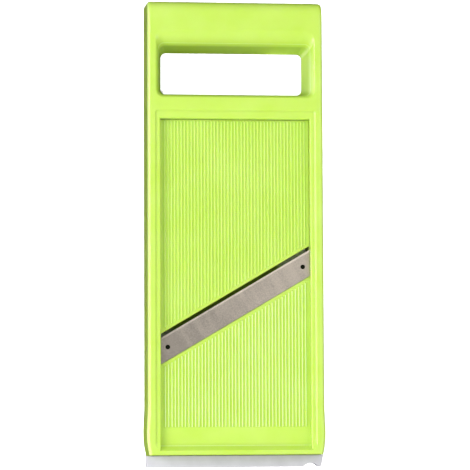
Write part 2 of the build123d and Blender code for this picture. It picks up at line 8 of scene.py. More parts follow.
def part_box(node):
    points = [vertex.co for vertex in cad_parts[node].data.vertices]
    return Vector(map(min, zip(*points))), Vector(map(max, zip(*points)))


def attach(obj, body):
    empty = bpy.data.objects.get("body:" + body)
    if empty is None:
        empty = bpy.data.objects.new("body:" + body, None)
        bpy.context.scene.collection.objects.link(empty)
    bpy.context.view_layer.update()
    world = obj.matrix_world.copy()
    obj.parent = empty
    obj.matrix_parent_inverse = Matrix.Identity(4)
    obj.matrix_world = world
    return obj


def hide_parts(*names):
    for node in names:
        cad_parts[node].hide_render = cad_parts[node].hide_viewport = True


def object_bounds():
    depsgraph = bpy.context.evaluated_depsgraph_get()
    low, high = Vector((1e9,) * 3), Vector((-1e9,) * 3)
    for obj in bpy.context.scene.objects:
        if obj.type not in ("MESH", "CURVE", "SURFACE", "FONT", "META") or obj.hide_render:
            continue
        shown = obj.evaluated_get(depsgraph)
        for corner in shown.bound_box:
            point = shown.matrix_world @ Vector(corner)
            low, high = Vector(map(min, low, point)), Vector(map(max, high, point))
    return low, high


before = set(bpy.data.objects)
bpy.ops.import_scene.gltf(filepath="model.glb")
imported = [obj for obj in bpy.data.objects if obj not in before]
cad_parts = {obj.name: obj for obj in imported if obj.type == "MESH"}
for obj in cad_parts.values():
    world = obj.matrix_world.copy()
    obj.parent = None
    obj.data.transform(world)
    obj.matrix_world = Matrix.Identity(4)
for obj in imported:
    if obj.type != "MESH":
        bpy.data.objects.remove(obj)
CAD_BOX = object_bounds()

bl_info = {
    "name": "Mandoline Slicer",
    "version": (1, 0, 0),
    "blender": (4, 5, 0),
    "location": "View3D > Sidebar > Slicer",
    "description": "Finishes a hand slicer and models its rubber parts, knob and lead screw",
    "category": "Object",
}

MM = 0.001
MIX_FACTOR, MIX_A, MIX_B, MIX_RESULT = 0, 6, 7, 2  # the colour sockets of a Mix node


def linear(hex_code):
    """Linear red, green and blue of an sRGB hex colour."""
    channels = [int(hex_code[i : i + 2], 16) / 255 for i in (0, 2, 4)]
    return [c / 12.92 if c <= 0.04045 else ((c + 0.055) / 1.055) ** 2.4 for c in channels]


def opaque(colour):
    """A colour as the four numbers that a colour socket takes."""
    return (*colour, 1.0)


def scale_for(size_mm):
    """Scale of a texture on Object coordinates whose features are size_mm apart."""
    return 1 / (size_mm * MM)


# ---- places taken from the frame -----------------------------------------------------------
FRAME_LOW, FRAME_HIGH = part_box("frame")
TABLE_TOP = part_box("feed_table")[1].z
BLADE_LOW, BLADE_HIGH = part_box("slicing_blade")
SCREW_LOW, SCREW_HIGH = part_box("adjuster_screw")
KNOB_LOW, KNOB_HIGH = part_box("adjuster_knob")
KNOB_SCREW_LOW, KNOB_SCREW_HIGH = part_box("knob_screw")
RETAINER_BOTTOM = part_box("retainer_plate")[0].z
FOOT_LOW, FOOT_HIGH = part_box("end_foot")
LEFT_HOLE = sum(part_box("blade_screw_left"), Vector()) / 2
RIGHT_HOLE = sum(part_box("blade_screw_right"), Vector()) / 2
BLADE_MIDDLE = (LEFT_HOLE + RIGHT_HOLE) / 2
BLADE_ANGLE = atan((RIGHT_HOLE.y - LEFT_HOLE.y) / (RIGHT_HOLE.x - LEFT_HOLE.x))
ACROSS_BLADE = Vector((-sin(BLADE_ANGLE), cos(BLADE_ANGLE), 0))  # square to it, towards the handle
KNOB_AXIS = (KNOB_LOW + KNOB_HIGH) / 2


class SlicerColours(bpy.types.PropertyGroup):
    """Colours of the slicer's finishes."""

    lime: bpy.props.FloatVectorProperty(
        name="Lime", description="Moulded body and table", subtype="COLOR", default=linear("C2E15B")
    )
    lime_flow: bpy.props.FloatVectorProperty(
        name="Lime flow", description="Paler flow marks in the moulding", subtype="COLOR",
        default=linear("C7E46A"),
    )
    # rib tops painted paler: part rubbed wear, part painted highlight
    scuff_and_highlight: bpy.props.FloatVectorProperty(
        name="Scuff", description="Whitened rib tops", subtype="COLOR", default=linear("E9FFC0")
    )
    blade: bpy.props.FloatVectorProperty(
        name="Blade", description="Ground stainless strip", subtype="COLOR", default=linear("CDC2B4")
    )
    # also the colour that the strip darkens to towards its left end
    blade_smear: bpy.props.FloatVectorProperty(
        name="Blade smear", description="Water stains on the strip", subtype="COLOR",
        default=linear("A0988E"),
    )
    # screws blackened and tinted dark green: part the steel's finish, part painted shade in the blade's
    # holes
    blackened_and_shade: bpy.props.FloatVectorProperty(
        name="Blackened steel", description="Screws that hold the blade", subtype="COLOR",
        default=linear("1E2418"),
    )
    zinc: bpy.props.FloatVectorProperty(
        name="Zinc", description="Small plated fasteners", subtype="COLOR", default=linear("C2C6CA")
    )
    ground_steel: bpy.props.FloatVectorProperty(
        name="Ground steel", description="Guide pins and lead screw", subtype="COLOR",
        default=linear("B9B9B8"),
    )
    brass: bpy.props.FloatVectorProperty(
        name="Brass", description="Turned bush", subtype="COLOR", default=linear("D9B45F")
    )
    knob: bpy.props.FloatVectorProperty(
        name="Knob", description="Filled nylon knob", subtype="COLOR", default=linear("8C8D8B")
    )
    rubber: bpy.props.FloatVectorProperty(
        name="Rubber", description="Foot and pads", subtype="COLOR", default=linear("C5C4CC")
    )


class SlicerSizes(bpy.types.PropertyGroup):
    """Sizes of the modelled parts."""

    foot_lip_height: bpy.props.FloatProperty(
        name="Foot lip height", description="Inner lip of the foot", unit="LENGTH", default=8.0 * MM
    )
    foot_lip_thickness: bpy.props.FloatProperty(
        name="Foot lip thickness", description="Inner lip of the foot", unit="LENGTH", default=3.2 * MM
    )
    foot_lip_inset: bpy.props.FloatProperty(
        name="Foot lip inset", description="End of the foot to the end of its lip", unit="LENGTH",
        default=9.85 * MM,
    )
    foot_slant: bpy.props.FloatProperty(
        name="Foot slant", description="How much the right end draws in", unit="LENGTH", default=1.7 * MM
    )
    notch_width: bpy.props.FloatProperty(
        name="Notch width", description="Thumb notch in the foot", unit="LENGTH", default=10.4 * MM
    )
    notch_depth: bpy.props.FloatProperty(
        name="Notch depth", description="Thumb notch in the foot", unit="LENGTH", default=2.5 * MM
    )
    notch_inset: bpy.props.FloatProperty(
        name="Notch inset", description="Right end to the notch's middle", unit="LENGTH", default=8.65 * MM
    )
    rubber_edge: bpy.props.FloatProperty(
        name="Rubber edge", description="Rounding of the rubber parts", unit="LENGTH", default=0.6 * MM
    )
    groove_width: bpy.props.FloatProperty(
        name="Groove width", description="Grip grooves under the foot", unit="LENGTH", default=0.9 * MM
    )
    groove_depth: bpy.props.FloatProperty(
        name="Groove depth", description="Grip grooves under the foot", unit="LENGTH", default=0.6 * MM
    )
    groove_pitch: bpy.props.FloatProperty(
        name="Groove pitch", description="Grip grooves under the foot", unit="LENGTH", default=2.2 * MM
    )
    pad_radius: bpy.props.FloatProperty(
        name="Pad radius", description="Rubber pads under the handle", unit="LENGTH", default=6.0 * MM
    )
    pad_stem_radius: bpy.props.FloatProperty(
        name="Pad stem radius", description="Stem pressed into the body", unit="LENGTH", default=2.5 * MM
    )
    thread_pitch: bpy.props.FloatProperty(
        name="Thread pitch", description="Lift per turn of the lead screw", unit="LENGTH",
        default=1.5 * MM,
    )
    thread_depth: bpy.props.FloatProperty(
        name="Thread depth", description="Crest to root of the lead screw", unit="LENGTH",
        default=0.6 * MM,
    )
    knob_flutes: bpy.props.IntProperty(
        name="Knob flutes", description="Finger flutes around the knob", default=24, min=6, max=60
    )


# ---- building blocks -----------------------------------------------------------------------
def add_node(tree, kind, settings=None, inputs=None):
    """Adds a node: settings are its own values, and an input is a value or a socket to link."""
    node = tree.nodes.new(kind)
    for name, value in (settings or {}).items():
        setattr(node, name, value)
    for name, value in (inputs or {}).items():
        if isinstance(value, bpy.types.NodeSocket):
            tree.links.new(value, node.inputs[name])
        else:
            node.inputs[name].default_value = value
    return node


def new_material(name, shader_inputs):
    """Material with a Principled shader: returns it, its tree, the shader and Object coordinates."""
    material = bpy.data.materials.new(name)
    material.use_nodes = True
    tree = material.node_tree
    tree.nodes.clear()
    shader = add_node(tree, "ShaderNodeBsdfPrincipled", inputs=shader_inputs)
    add_node(tree, "ShaderNodeOutputMaterial", inputs={"Surface": shader.outputs["BSDF"]})
    place = add_node(tree, "ShaderNodeTexCoord").outputs["Object"]
    return material, tree, shader, place


def only(piece):
    """Makes one piece the selected and active one."""
    bpy.ops.object.select_all(action="DESELECT")
    piece.select_set(True)
    bpy.context.view_layer.objects.active = piece


def pick_faces(piece, test):
    """In edit mode, selects the faces whose centre and normal pass the test."""
    bpy.ops.mesh.select_mode(type="FACE")
    bpy.ops.mesh.select_all(action="DESELECT")
    bpy.ops.object.mode_set(mode="OBJECT")
    for face in piece.data.polygons:
        face.select = test(face.center, face.normal)
    bpy.ops.object.mode_set(mode="EDIT")


def slice_mesh(point, normal, clear=False):
    """In edit mode, cuts the whole mesh by a plane, and clears and caps its outer side if asked."""
    bpy.ops.mesh.select_all(action="SELECT")
    bpy.ops.mesh.bisect(plane_co=point, plane_no=normal, clear_outer=clear, use_fill=clear)


def start_block(low, high):
    """Block between two corners, with its place in its mesh, left in edit mode."""
    bpy.ops.object.select_all(action="DESELECT")
    bpy.ops.mesh.primitive_cube_add(size=1, location=(low + high) / 2, scale=high - low)
    bpy.ops.object.transform_apply(location=True, rotation=True, scale=True)
    piece = bpy.context.active_object
    bpy.ops.object.mode_set(mode="EDIT")
    return piece


def start_round(middle, radius, low, high, sides=96):
    """Upright cylinder around middle from height low to high, left in edit mode."""
    bpy.ops.object.select_all(action="DESELECT")
    bpy.ops.mesh.primitive_cylinder_add(
        vertices=sides,
        radius=radius,
        depth=high - low,
        location=(middle.x, middle.y, (low + high) / 2),
    )
    bpy.ops.object.transform_apply(location=True, rotation=True, scale=True)
    piece = bpy.context.active_object
    bpy.ops.object.mode_set(mode="EDIT")
    return piece


def leave_edit():
    """Back to object mode."""
    bpy.ops.object.mode_set(mode="OBJECT")


def extrude(x, y, z):
    """In edit mode, extrudes the selected faces by an offset."""
    bpy.ops.mesh.extrude_region_move(TRANSFORM_OT_translate={"value": (x, y, z)})


def apply_modifier(piece, kind, **settings):
    """Adds a modifier with its settings and applies it."""
    modifier = piece.modifiers.new(kind.title(), kind)
    for name, value in settings.items():
        setattr(modifier, name, value)
    only(piece)
    bpy.ops.object.modifier_apply(modifier=modifier.name)


def combine(piece, other, operation):
    """Cuts another piece away from this one (DIFFERENCE), or unites the two (UNION)."""
    apply_modifier(piece, "BOOLEAN", operation=operation, object=other, solver="EXACT")
    bpy.data.objects.remove(other)


def drill(piece, middle, radius, low, high, sides=96):
    """Cuts an upright round hole around middle from height low to high."""
    cutter = start_round(middle, radius, low, high, sides)
    leave_edit()
    combine(piece, cutter, "DIFFERENCE")


def round_edges(piece, radius, segments, sharp_angle):
    """Rounds the edges that are sharper than an angle in degrees."""
    apply_modifier(
        piece,
        "BEVEL",
        width=radius,
        segments=segments,
        limit_method="ANGLE",
        angle_limit=radians(sharp_angle),
    )


def settle(piece, name, material, body, nodes):
    """Names a finished piece and gives it its finish, its body and the nodes it stands for."""
    piece.name = piece.data.name = name
    only(piece)
    bpy.ops.object.mode_set(mode="EDIT")
    bpy.ops.mesh.select_all(action="SELECT")
    bpy.ops.mesh.remove_doubles(threshold=0.001 * MM)
    bpy.ops.mesh.normals_make_consistent(inside=False)
    leave_edit()
    bpy.ops.object.shade_smooth_by_angle(angle=radians(35))
    piece.data.materials.clear()
    piece.data.materials.append(material)
    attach(piece, body)
    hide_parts(*nodes)


def refinish(node, material):
    """Gives a frame node a new finish."""
    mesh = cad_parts[node].data
    mesh.materials.clear()
    mesh.materials.append(material)
    for face in mesh.polygons:
        face.material_index = 0


# ---- finishes ------------------------------------------------------------------------------
def lime_moulding(name, colours, rib_top, scuff_and_highlight):
    """Gloss polypropylene, injection moulded: an even lime with faint paler flow marks, a soft
    waviness in its reflections, and rib tops that the food has rubbed matter, painted paler as part wear
    and part painted highlight."""
    material, tree, shader, place = new_material(
        name,
        {
            "IOR": 1.49,
            "Subsurface Weight": 0.8,
            "Subsurface Radius": (1.0, 1.2, 0.4),
            "Subsurface Scale": 2.0 * MM,
        },
    )
    flow = add_node(
        tree, "ShaderNodeTexNoise", inputs={"Vector": place, "Scale": scale_for(28), "Detail": 3.0}
    )
    flow_share = add_node(
        tree,
        "ShaderNodeMapRange",
        inputs={"Value": flow.outputs["Fac"], "From Min": 0.35, "From Max": 0.7},
    )
    body_colour = add_node(
        tree,
        "ShaderNodeMix",
        {"data_type": "RGBA"},
        {
            MIX_FACTOR: flow_share.outputs["Result"],
            MIX_A: opaque(colours.lime),
            MIX_B: opaque(colours.lime_flow),
        },
    )
    # paler rib tops, part rubbed wear and part painted highlight: a band of height, broken up by fine
    # strokes along the food's path
    pale_band_depth, edge_margin = 0.25 * MM, 0.05 * MM
    height = add_node(tree, "ShaderNodeSeparateXYZ", inputs={"Vector": place})
    top_band = add_node(
        tree,
        "ShaderNodeMapRange",
        inputs={
            "Value": height.outputs["Z"],
            "From Min": rib_top - pale_band_depth,
            "From Max": rib_top - edge_margin,
        },
    )
    above = add_node(
        tree,
        "ShaderNodeMath",
        {"operation": "LESS_THAN"},
        {0: height.outputs["Z"], 1: rib_top + edge_margin},
    )
    stroke_place = add_node(
        tree, "ShaderNodeMapping", inputs={"Vector": place, "Scale": (1.0, 0.04, 1.0)}
    )
    # strokes 0.6 mm wide, coarser than real rubbing, so that they still show
    strokes = add_node(
        tree,
        "ShaderNodeTexNoise",
        inputs={"Vector": stroke_place.outputs["Vector"], "Scale": scale_for(0.6), "Detail": 2.0},
    )
    stroke_share = add_node(
        tree,
        "ShaderNodeMapRange",
        inputs={
            "Value": strokes.outputs["Fac"],
            "From Min": 0.3,
            "From Max": 0.6,
            "To Min": 0.75 * scuff_and_highlight,
            "To Max": scuff_and_highlight,
        },
    )
    band_share = add_node(
        tree,
        "ShaderNodeMath",
        {"operation": "MULTIPLY"},
        {0: top_band.outputs["Result"], 1: above.outputs["Value"]},
    )
    rub_and_highlight = add_node(
        tree,
        "ShaderNodeMath",
        {"operation": "MULTIPLY"},
        {0: band_share.outputs["Value"], 1: stroke_share.outputs["Result"]},
    )
    colour = add_node(
        tree,
        "ShaderNodeMix",
        {"data_type": "RGBA"},
        {
            MIX_FACTOR: rub_and_highlight.outputs["Value"],
            MIX_A: body_colour.outputs[MIX_RESULT],
            MIX_B: opaque(colours.scuff_and_highlight),
        },
    )
    tree.links.new(colour.outputs[MIX_RESULT], shader.inputs["Base Color"])
    roughness = add_node(
        tree,
        "ShaderNodeMapRange",
        inputs={"Value": rub_and_highlight.outputs["Value"], "To Min": 0.2, "To Max": 0.5},
    )
    tree.links.new(roughness.outputs["Result"], shader.inputs["Roughness"])
    # orange peel of the mould: waves 2.5 mm across and under a hundredth of a millimetre high
    peel = add_node(
        tree, "ShaderNodeTexNoise", inputs={"Vector": place, "Scale": scale_for(2.5), "Detail": 1.0}
    )
    bump = add_node(
        tree,
        "ShaderNodeBump",
        inputs={"Height": peel.outputs["Fac"], "Distance": 0.02 * MM, "Strength": 0.4},
    )
    tree.links.new(bump.outputs["Normal"], shader.inputs["Normal"])
    return material


def ground_blade_steel(colours):
    """Stainless strip, ground lengthwise: a warm satin grey with fine drawn lines and faint water
    stains, darker towards its left end."""
    material, tree, shader, place = new_material("ground_stainless_strip", {"Metallic": 1.0})
    along = add_node(
        tree,
        "ShaderNodeMapping",
        {"vector_type": "TEXTURE"},
        {"Vector": place, "Location": BLADE_MIDDLE, "Rotation": (0, 0, BLADE_ANGLE)},
    )
    drawn_place = add_node(
        tree, "ShaderNodeMapping", inputs={"Vector": along.outputs["Vector"], "Scale": (0.02, 1.0, 1.0)}
    )
    # grinding lines 0.35 mm apart, coarser than real ones, so that they still show
    drawn = add_node(
        tree,
        "ShaderNodeTexNoise",
        inputs={"Vector": drawn_place.outputs["Vector"], "Scale": scale_for(0.35), "Detail": 3.0},
    )
    stain = add_node(
        tree,
        "ShaderNodeTexNoise",
        inputs={"Vector": along.outputs["Vector"], "Scale": scale_for(9), "Detail": 4.0},
    )
    stain_share = add_node(
        tree,
        "ShaderNodeMapRange",
        inputs={"Value": stain.outputs["Fac"], "From Min": 0.5, "From Max": 0.8, "To Max": 0.6},
    )
    along_blade = add_node(tree, "ShaderNodeSeparateXYZ", inputs={"Vector": along.outputs["Vector"]})
    # the strip mixes towards the darker smear colour towards its left end
    left_darkening = add_node(
        tree,
        "ShaderNodeMapRange",
        inputs={
            "Value": along_blade.outputs["X"],
            "From Min": BLADE_LOW.x,
            "From Max": BLADE_HIGH.x,
            "To Min": 0.9,
            "To Max": 0.1,
        },
    )
    darkening_share = add_node(
        tree,
        "ShaderNodeMath",
        {"operation": "MAXIMUM"},
        {0: stain_share.outputs["Result"], 1: left_darkening.outputs["Result"]},
    )
    # wiping streaks across the strip, 6 mm apart, and specks of dried juice 0.8 mm across
    marks = darkening_share
    for size_mm, stretch, depth in ((6.0, (1.0, 0.2, 1.0), 0.2), (0.8, (1.0, 1.0, 1.0), 0.35)):
        mark_place = add_node(
            tree, "ShaderNodeMapping", inputs={"Vector": along.outputs["Vector"], "Scale": stretch}
        )
        mark = add_node(
            tree,
            "ShaderNodeTexNoise",
            inputs={"Vector": mark_place.outputs["Vector"], "Scale": scale_for(size_mm), "Detail": 2.0},
        )
        mark_share = add_node(
            tree,
            "ShaderNodeMapRange",
            inputs={
                "Value": mark.outputs["Fac"],
                "From Min": 0.3,
                "From Max": 0.7,
                "To Min": -depth,
                "To Max": depth,
            },
        )
        marks = add_node(
            tree,
            "ShaderNodeMath",
            {"operation": "ADD"},
            {0: marks.outputs["Value"], 1: mark_share.outputs["Result"]},
        )
    marks.use_clamp = True
    stained = add_node(
        tree,
        "ShaderNodeMix",
        {"data_type": "RGBA"},
        {
            MIX_FACTOR: marks.outputs["Value"],
            MIX_A: opaque(colours.blade),
            MIX_B: opaque(colours.blade_smear),
        },
    )
    tree.links.new(stained.outputs[MIX_RESULT], shader.inputs["Base Color"])
    roughness = add_node(
        tree,
        "ShaderNodeMapRange",
        inputs={
            "Value": drawn.outputs["Fac"],
            "From Min": 0.3,
            "From Max": 0.7,
            "To Min": 0.34,
            "To Max": 0.48,
        },
    )
    tree.links.new(roughness.outputs["Result"], shader.inputs["Roughness"])
    bump = add_node(
        tree,
        "ShaderNodeBump",
        inputs={"Height": drawn.outputs["Fac"], "Distance": 0.02 * MM, "Strength": 0.5},
    )
    tree.links.new(bump.outputs["Normal"], shader.inputs["Normal"])
    return material


def plated_metal(name, colour, roughness, grain_mm, cloud):
    """Small metal part, plated or ground: one metal colour clouded by its finish, with a fine grain
    that breaks its highlights."""
    material, tree, shader, place = new_material(name, {"Metallic": 1.0})
    clouds = add_node(
        tree, "ShaderNodeTexNoise", inputs={"Vector": place, "Scale": scale_for(1.6), "Detail": 3.0}
    )
    tone = add_node(
        tree,
        "ShaderNodeMix",
        {"data_type": "RGBA"},
        {
            MIX_FACTOR: clouds.outputs["Fac"],
            MIX_A: opaque(colour),
            MIX_B: opaque([channel * (1 - cloud) for channel in colour]),
        },
    )
    tree.links.new(tone.outputs[MIX_RESULT], shader.inputs["Base Color"])
    rough = add_node(
        tree,
        "ShaderNodeMapRange",
        inputs={"Value": clouds.outputs["Fac"], "To Min": roughness * 0.8, "To Max": roughness * 1.25},
    )
    tree.links.new(rough.outputs["Result"], shader.inputs["Roughness"])
    # the grain is coarser than a real finish's, so that it still shows
    grain = add_node(
        tree, "ShaderNodeTexNoise", inputs={"Vector": place, "Scale": scale_for(grain_mm), "Detail": 2.0}
    )
    bump = add_node(
        tree,
        "ShaderNodeBump",
        inputs={"Height": grain.outputs["Fac"], "Distance": 0.01 * MM, "Strength": 0.5},
    )
    tree.links.new(bump.outputs["Normal"], shader.inputs["Normal"])
    return material


def turned_brass(colours):
    """Brass, turned on a lathe: warm yellow with fine rings around the screw's axis."""
    material, tree, shader, place = new_material("turned_brass", {"Metallic": 1.0})
    centred = add_node(
        tree,
        "ShaderNodeMapping",
        {"vector_type": "TEXTURE"},
        {"Vector": place, "Location": KNOB_AXIS},
    )
    # turning marks 0.3 mm apart, coarser than real ones, so that they still show
    rings = add_node(
        tree,
        "ShaderNodeTexWave",
        {"wave_type": "RINGS", "rings_direction": "Z"},
        {"Vector": centred.outputs["Vector"], "Scale": scale_for(0.3) / (2 * pi), "Distortion": 0.4},
    )
    tone = add_node(
        tree,
        "ShaderNodeMix",
        {"data_type": "RGBA"},
        {
            MIX_FACTOR: rings.outputs["Fac"],
            MIX_A: opaque(colours.brass),
            MIX_B: opaque([channel * 0.85 for channel in colours.brass]),
        },
    )
    tree.links.new(tone.outputs[MIX_RESULT], shader.inputs["Base Color"])
    roughness = add_node(
        tree,
        "ShaderNodeMapRange",
        inputs={"Value": rings.outputs["Fac"], "To Min": 0.22, "To Max": 0.34},
    )
    tree.links.new(roughness.outputs["Result"], shader.inputs["Roughness"])
    bump = add_node(
        tree,
        "ShaderNodeBump",
        inputs={"Height": rings.outputs["Fac"], "Distance": 0.01 * MM, "Strength": 0.5},
    )
    tree.links.new(bump.outputs["Normal"], shader.inputs["Normal"])
    return material


def moulded_rubber(name, colour, roughness, grain_mm):
    """Thermoplastic rubber or filled nylon, moulded in a spark-eroded tool: matt, slightly dusty,
    with a fine pebbled grain."""
    material, tree, shader, place = new_material(name, {"IOR": 1.5, "Specular IOR Level": 0.35})
    dust = add_node(
        tree, "ShaderNodeTexNoise", inputs={"Vector": place, "Scale": scale_for(7), "Detail": 5.0}
    )
    tone = add_node(
        tree,
        "ShaderNodeMix",
        {"data_type": "RGBA"},
        {
            MIX_FACTOR: dust.outputs["Fac"],
            MIX_A: opaque([channel * 0.9 for channel in colour]),
            MIX_B: opaque([min(1.0, channel * 1.1) for channel in colour]),
        },
    )
    tree.links.new(tone.outputs[MIX_RESULT], shader.inputs["Base Color"])
    rough = add_node(
        tree,
        "ShaderNodeMapRange",
        inputs={"Value": dust.outputs["Fac"], "To Min": roughness - 0.08, "To Max": roughness + 0.08},
    )
    tree.links.new(rough.outputs["Result"], shader.inputs["Roughness"])
    # the pebbles are coarser than a real tool's, so that they still show
    pebbles = add_node(
        tree, "ShaderNodeTexVoronoi", inputs={"Vector": place, "Scale": scale_for(grain_mm)}
    )
    bump = add_node(
        tree,
        "ShaderNodeBump",
        inputs={"Height": pebbles.outputs["Distance"], "Distance": 0.03 * MM, "Strength": 0.5},
    )
    tree.links.new(bump.outputs["Normal"], shader.inputs["Normal"])
    return material


# ---- operators -----------------------------------------------------------------------------
class SLICER_OT_mouldings(bpy.types.Operator):
    """Finish the moulded body and feed table"""

    bl_idname = "slicer.mouldings"
    bl_label = "Mouldings"

    def execute(self, context):
        colours = context.scene.slicer_colours
        deck_rib_top = BLADE_HIGH.z
        # rib tops painted paler, part wear and part painted highlight, more strongly on the deck than on
        # the table
        refinish("frame", lime_moulding("lime_body_moulding", colours, deck_rib_top, scuff_and_highlight=0.65))
        refinish("feed_table", lime_moulding("lime_table_moulding", colours, TABLE_TOP, scuff_and_highlight=0.2))
        return {"FINISHED"}


class SLICER_OT_blade(bpy.types.Operator):
    """Finish the blade and its screws"""

    bl_idname = "slicer.blade"
    bl_label = "Blade"

    def execute(self, context):
        colours = context.scene.slicer_colours
        refinish("slicing_blade", ground_blade_steel(colours))
        # dark green-black screws: part blackened finish, part painted shade in the blade's holes
        blackened_and_shade = plated_metal("blackened_steel_and_shade", colours.blackened_and_shade, 0.5, 0.25, cloud=0.3)
        for node in ("blade_screw_left", "blade_screw_right"):
            refinish(node, blackened_and_shade)
        return {"FINISHED"}


class SLICER_OT_fasteners(bpy.types.Operator):
    """Finish the pins, plate, washer, small screws and bush"""

    bl_idname = "slicer.fasteners"
    bl_label = "Fasteners"

    def execute(self, context):
        colours = context.scene.slicer_colours
        zinc = plated_metal("zinc_plated_steel", colours.zinc, 0.32, 0.3, cloud=0.25)
        for node in (
            "retainer_plate",
            "retainer_screw_front",
            "retainer_screw_rear",
            "thrust_washer",
            "knob_screw",
        ):
            refinish(node, zinc)
        ground = plated_metal("ground_pin_steel", colours.ground_steel, 0.2, 0.2, cloud=0.1)
        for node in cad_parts:
            if node.startswith("guide_pin"):
                refinish(node, ground)
        refinish("bridge_bush", turned_brass(colours))
        return {"FINISHED"}


class SLICER_OT_foot(bpy.types.Operator):
    """Model the rubber foot with its lip, slanted end, thumb notch and grip grooves"""

    bl_idname = "slicer.foot"
    bl_label = "Rubber foot"

    def execute(self, context):
        sizes = context.scene.slicer_sizes
        wall_y, rim_z = FRAME_LOW.y, FRAME_LOW.z
        lip_y = FOOT_HIGH.y - sizes.foot_lip_thickness
        lip_x = FRAME_HIGH.x - sizes.foot_lip_inset
        foot = start_block(FOOT_LOW, Vector((FOOT_HIGH.x, wall_y, FOOT_HIGH.z)))
        slice_mesh((0, 0, rim_z), (0, 0, 1))
        pick_faces(foot, lambda at, normal: normal.y > 0.9 and at.z < rim_z)
        reach = FOOT_HIGH.y - wall_y
        extrude(0, reach, 0)
        slice_mesh((0, lip_y, 0), (0, 1, 0))
        slice_mesh((lip_x, 0, 0), (1, 0, 0))
        slice_mesh((-lip_x, 0, 0), (1, 0, 0))
        pick_faces(
            foot, lambda at, normal: normal.z > 0.9 and at.y > lip_y and abs(at.x) < lip_x
        )
        extrude(0, 0, sizes.foot_lip_height - rim_z)
        slant = asin(sizes.foot_slant / (wall_y - FOOT_LOW.y))
        slice_mesh((FOOT_HIGH.x, wall_y, 0), (cos(slant), -sin(slant), 0), clear=True)
        bpy.ops.mesh.select_all(action="SELECT")
        bpy.ops.mesh.dissolve_limited(angle_limit=radians(1))
        leave_edit()

        notch_radius = (sizes.notch_width**2 / 4 + sizes.notch_depth**2) / (2 * sizes.notch_depth)
        notch_middle = Vector(
            (FOOT_HIGH.x - sizes.notch_inset, FOOT_LOW.y + sizes.notch_depth - notch_radius, 0)
        )
        drill(foot, notch_middle, notch_radius, -FOOT_HIGH.z, 2 * FOOT_HIGH.z)
        round_edges(foot, sizes.rubber_edge, segments=3, sharp_angle=40)
        self.cut_grooves(foot, sizes)
        rubber = moulded_rubber("moulded_grey_rubber", context.scene.slicer_colours.rubber, 0.62, 0.5)
        settle(foot, "rubber_foot", rubber, "body", ["end_foot"])
        return {"FINISHED"}

    @staticmethod
    def cut_grooves(foot, sizes):
        """Cuts the grip grooves lengthwise into the underside."""
        left_inset, right_inset = 4 * MM, 2 * sizes.notch_inset  # the notch stays clear of the grooves
        first_y = FOOT_LOW.y + sizes.groove_pitch
        count = int((FOOT_HIGH.y - FOOT_LOW.y) / sizes.groove_pitch) - 1
        low = Vector((FOOT_LOW.x + left_inset, first_y, -sizes.groove_depth))
        high = Vector(
            (FOOT_HIGH.x - right_inset, first_y + sizes.groove_width, sizes.groove_depth)
        )
        groove = start_block(low, high)
        leave_edit()
        apply_modifier(
            groove,
            "ARRAY",
            count=count,
            use_relative_offset=False,
            use_constant_offset=True,
            constant_offset_displace=(0, sizes.groove_pitch, 0),
        )
        combine(foot, groove, "DIFFERENCE")


class SLICER_OT_pads(bpy.types.Operator):
    """Model one rubber pad and copy it to the other side of the handle"""

    bl_idname = "slicer.pads"
    bl_label = "Handle pads"

    def execute(self, context):
        sizes = context.scene.slicer_sizes
        low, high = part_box("handle_pad_left")
        middle = (low + high) / 2
        flange_top = FRAME_LOW.z
        ring_width, dish_depth = 1.4 * MM, 0.5 * MM
        button_inset, button_height = 2.0 * MM, 0.3 * MM
        pad = start_round(middle, sizes.pad_radius, low.z, flange_top, sides=72)
        # shallow dish with a raised button underneath, stem on top
        pick_faces(pad, lambda at, normal: normal.z < -0.9)
        bpy.ops.mesh.inset(thickness=ring_width)
        extrude(0, 0, dish_depth)
        bpy.ops.mesh.inset(thickness=button_inset)
        extrude(0, 0, -button_height)
        pick_faces(pad, lambda at, normal: normal.z > 0.9 and at.z > flange_top - 0.1 * MM)
        bpy.ops.mesh.inset(thickness=sizes.pad_radius - sizes.pad_stem_radius)
        extrude(0, 0, high.z - flange_top)
        leave_edit()
        round_edges(pad, 0.25 * MM, segments=3, sharp_angle=40)
        other = pad.copy()
        other.data = pad.data.copy()
        other.data.transform(Matrix.Translation((-2 * middle.x, 0, 0)))
        context.scene.collection.objects.link(other)
        rubber = bpy.data.materials["moulded_grey_rubber"]
        settle(pad, "rubber_pad_left", rubber, "body", ["handle_pad_left"])
        settle(other, "rubber_pad_right", rubber, "body", ["handle_pad_right"])
        return {"FINISHED"}


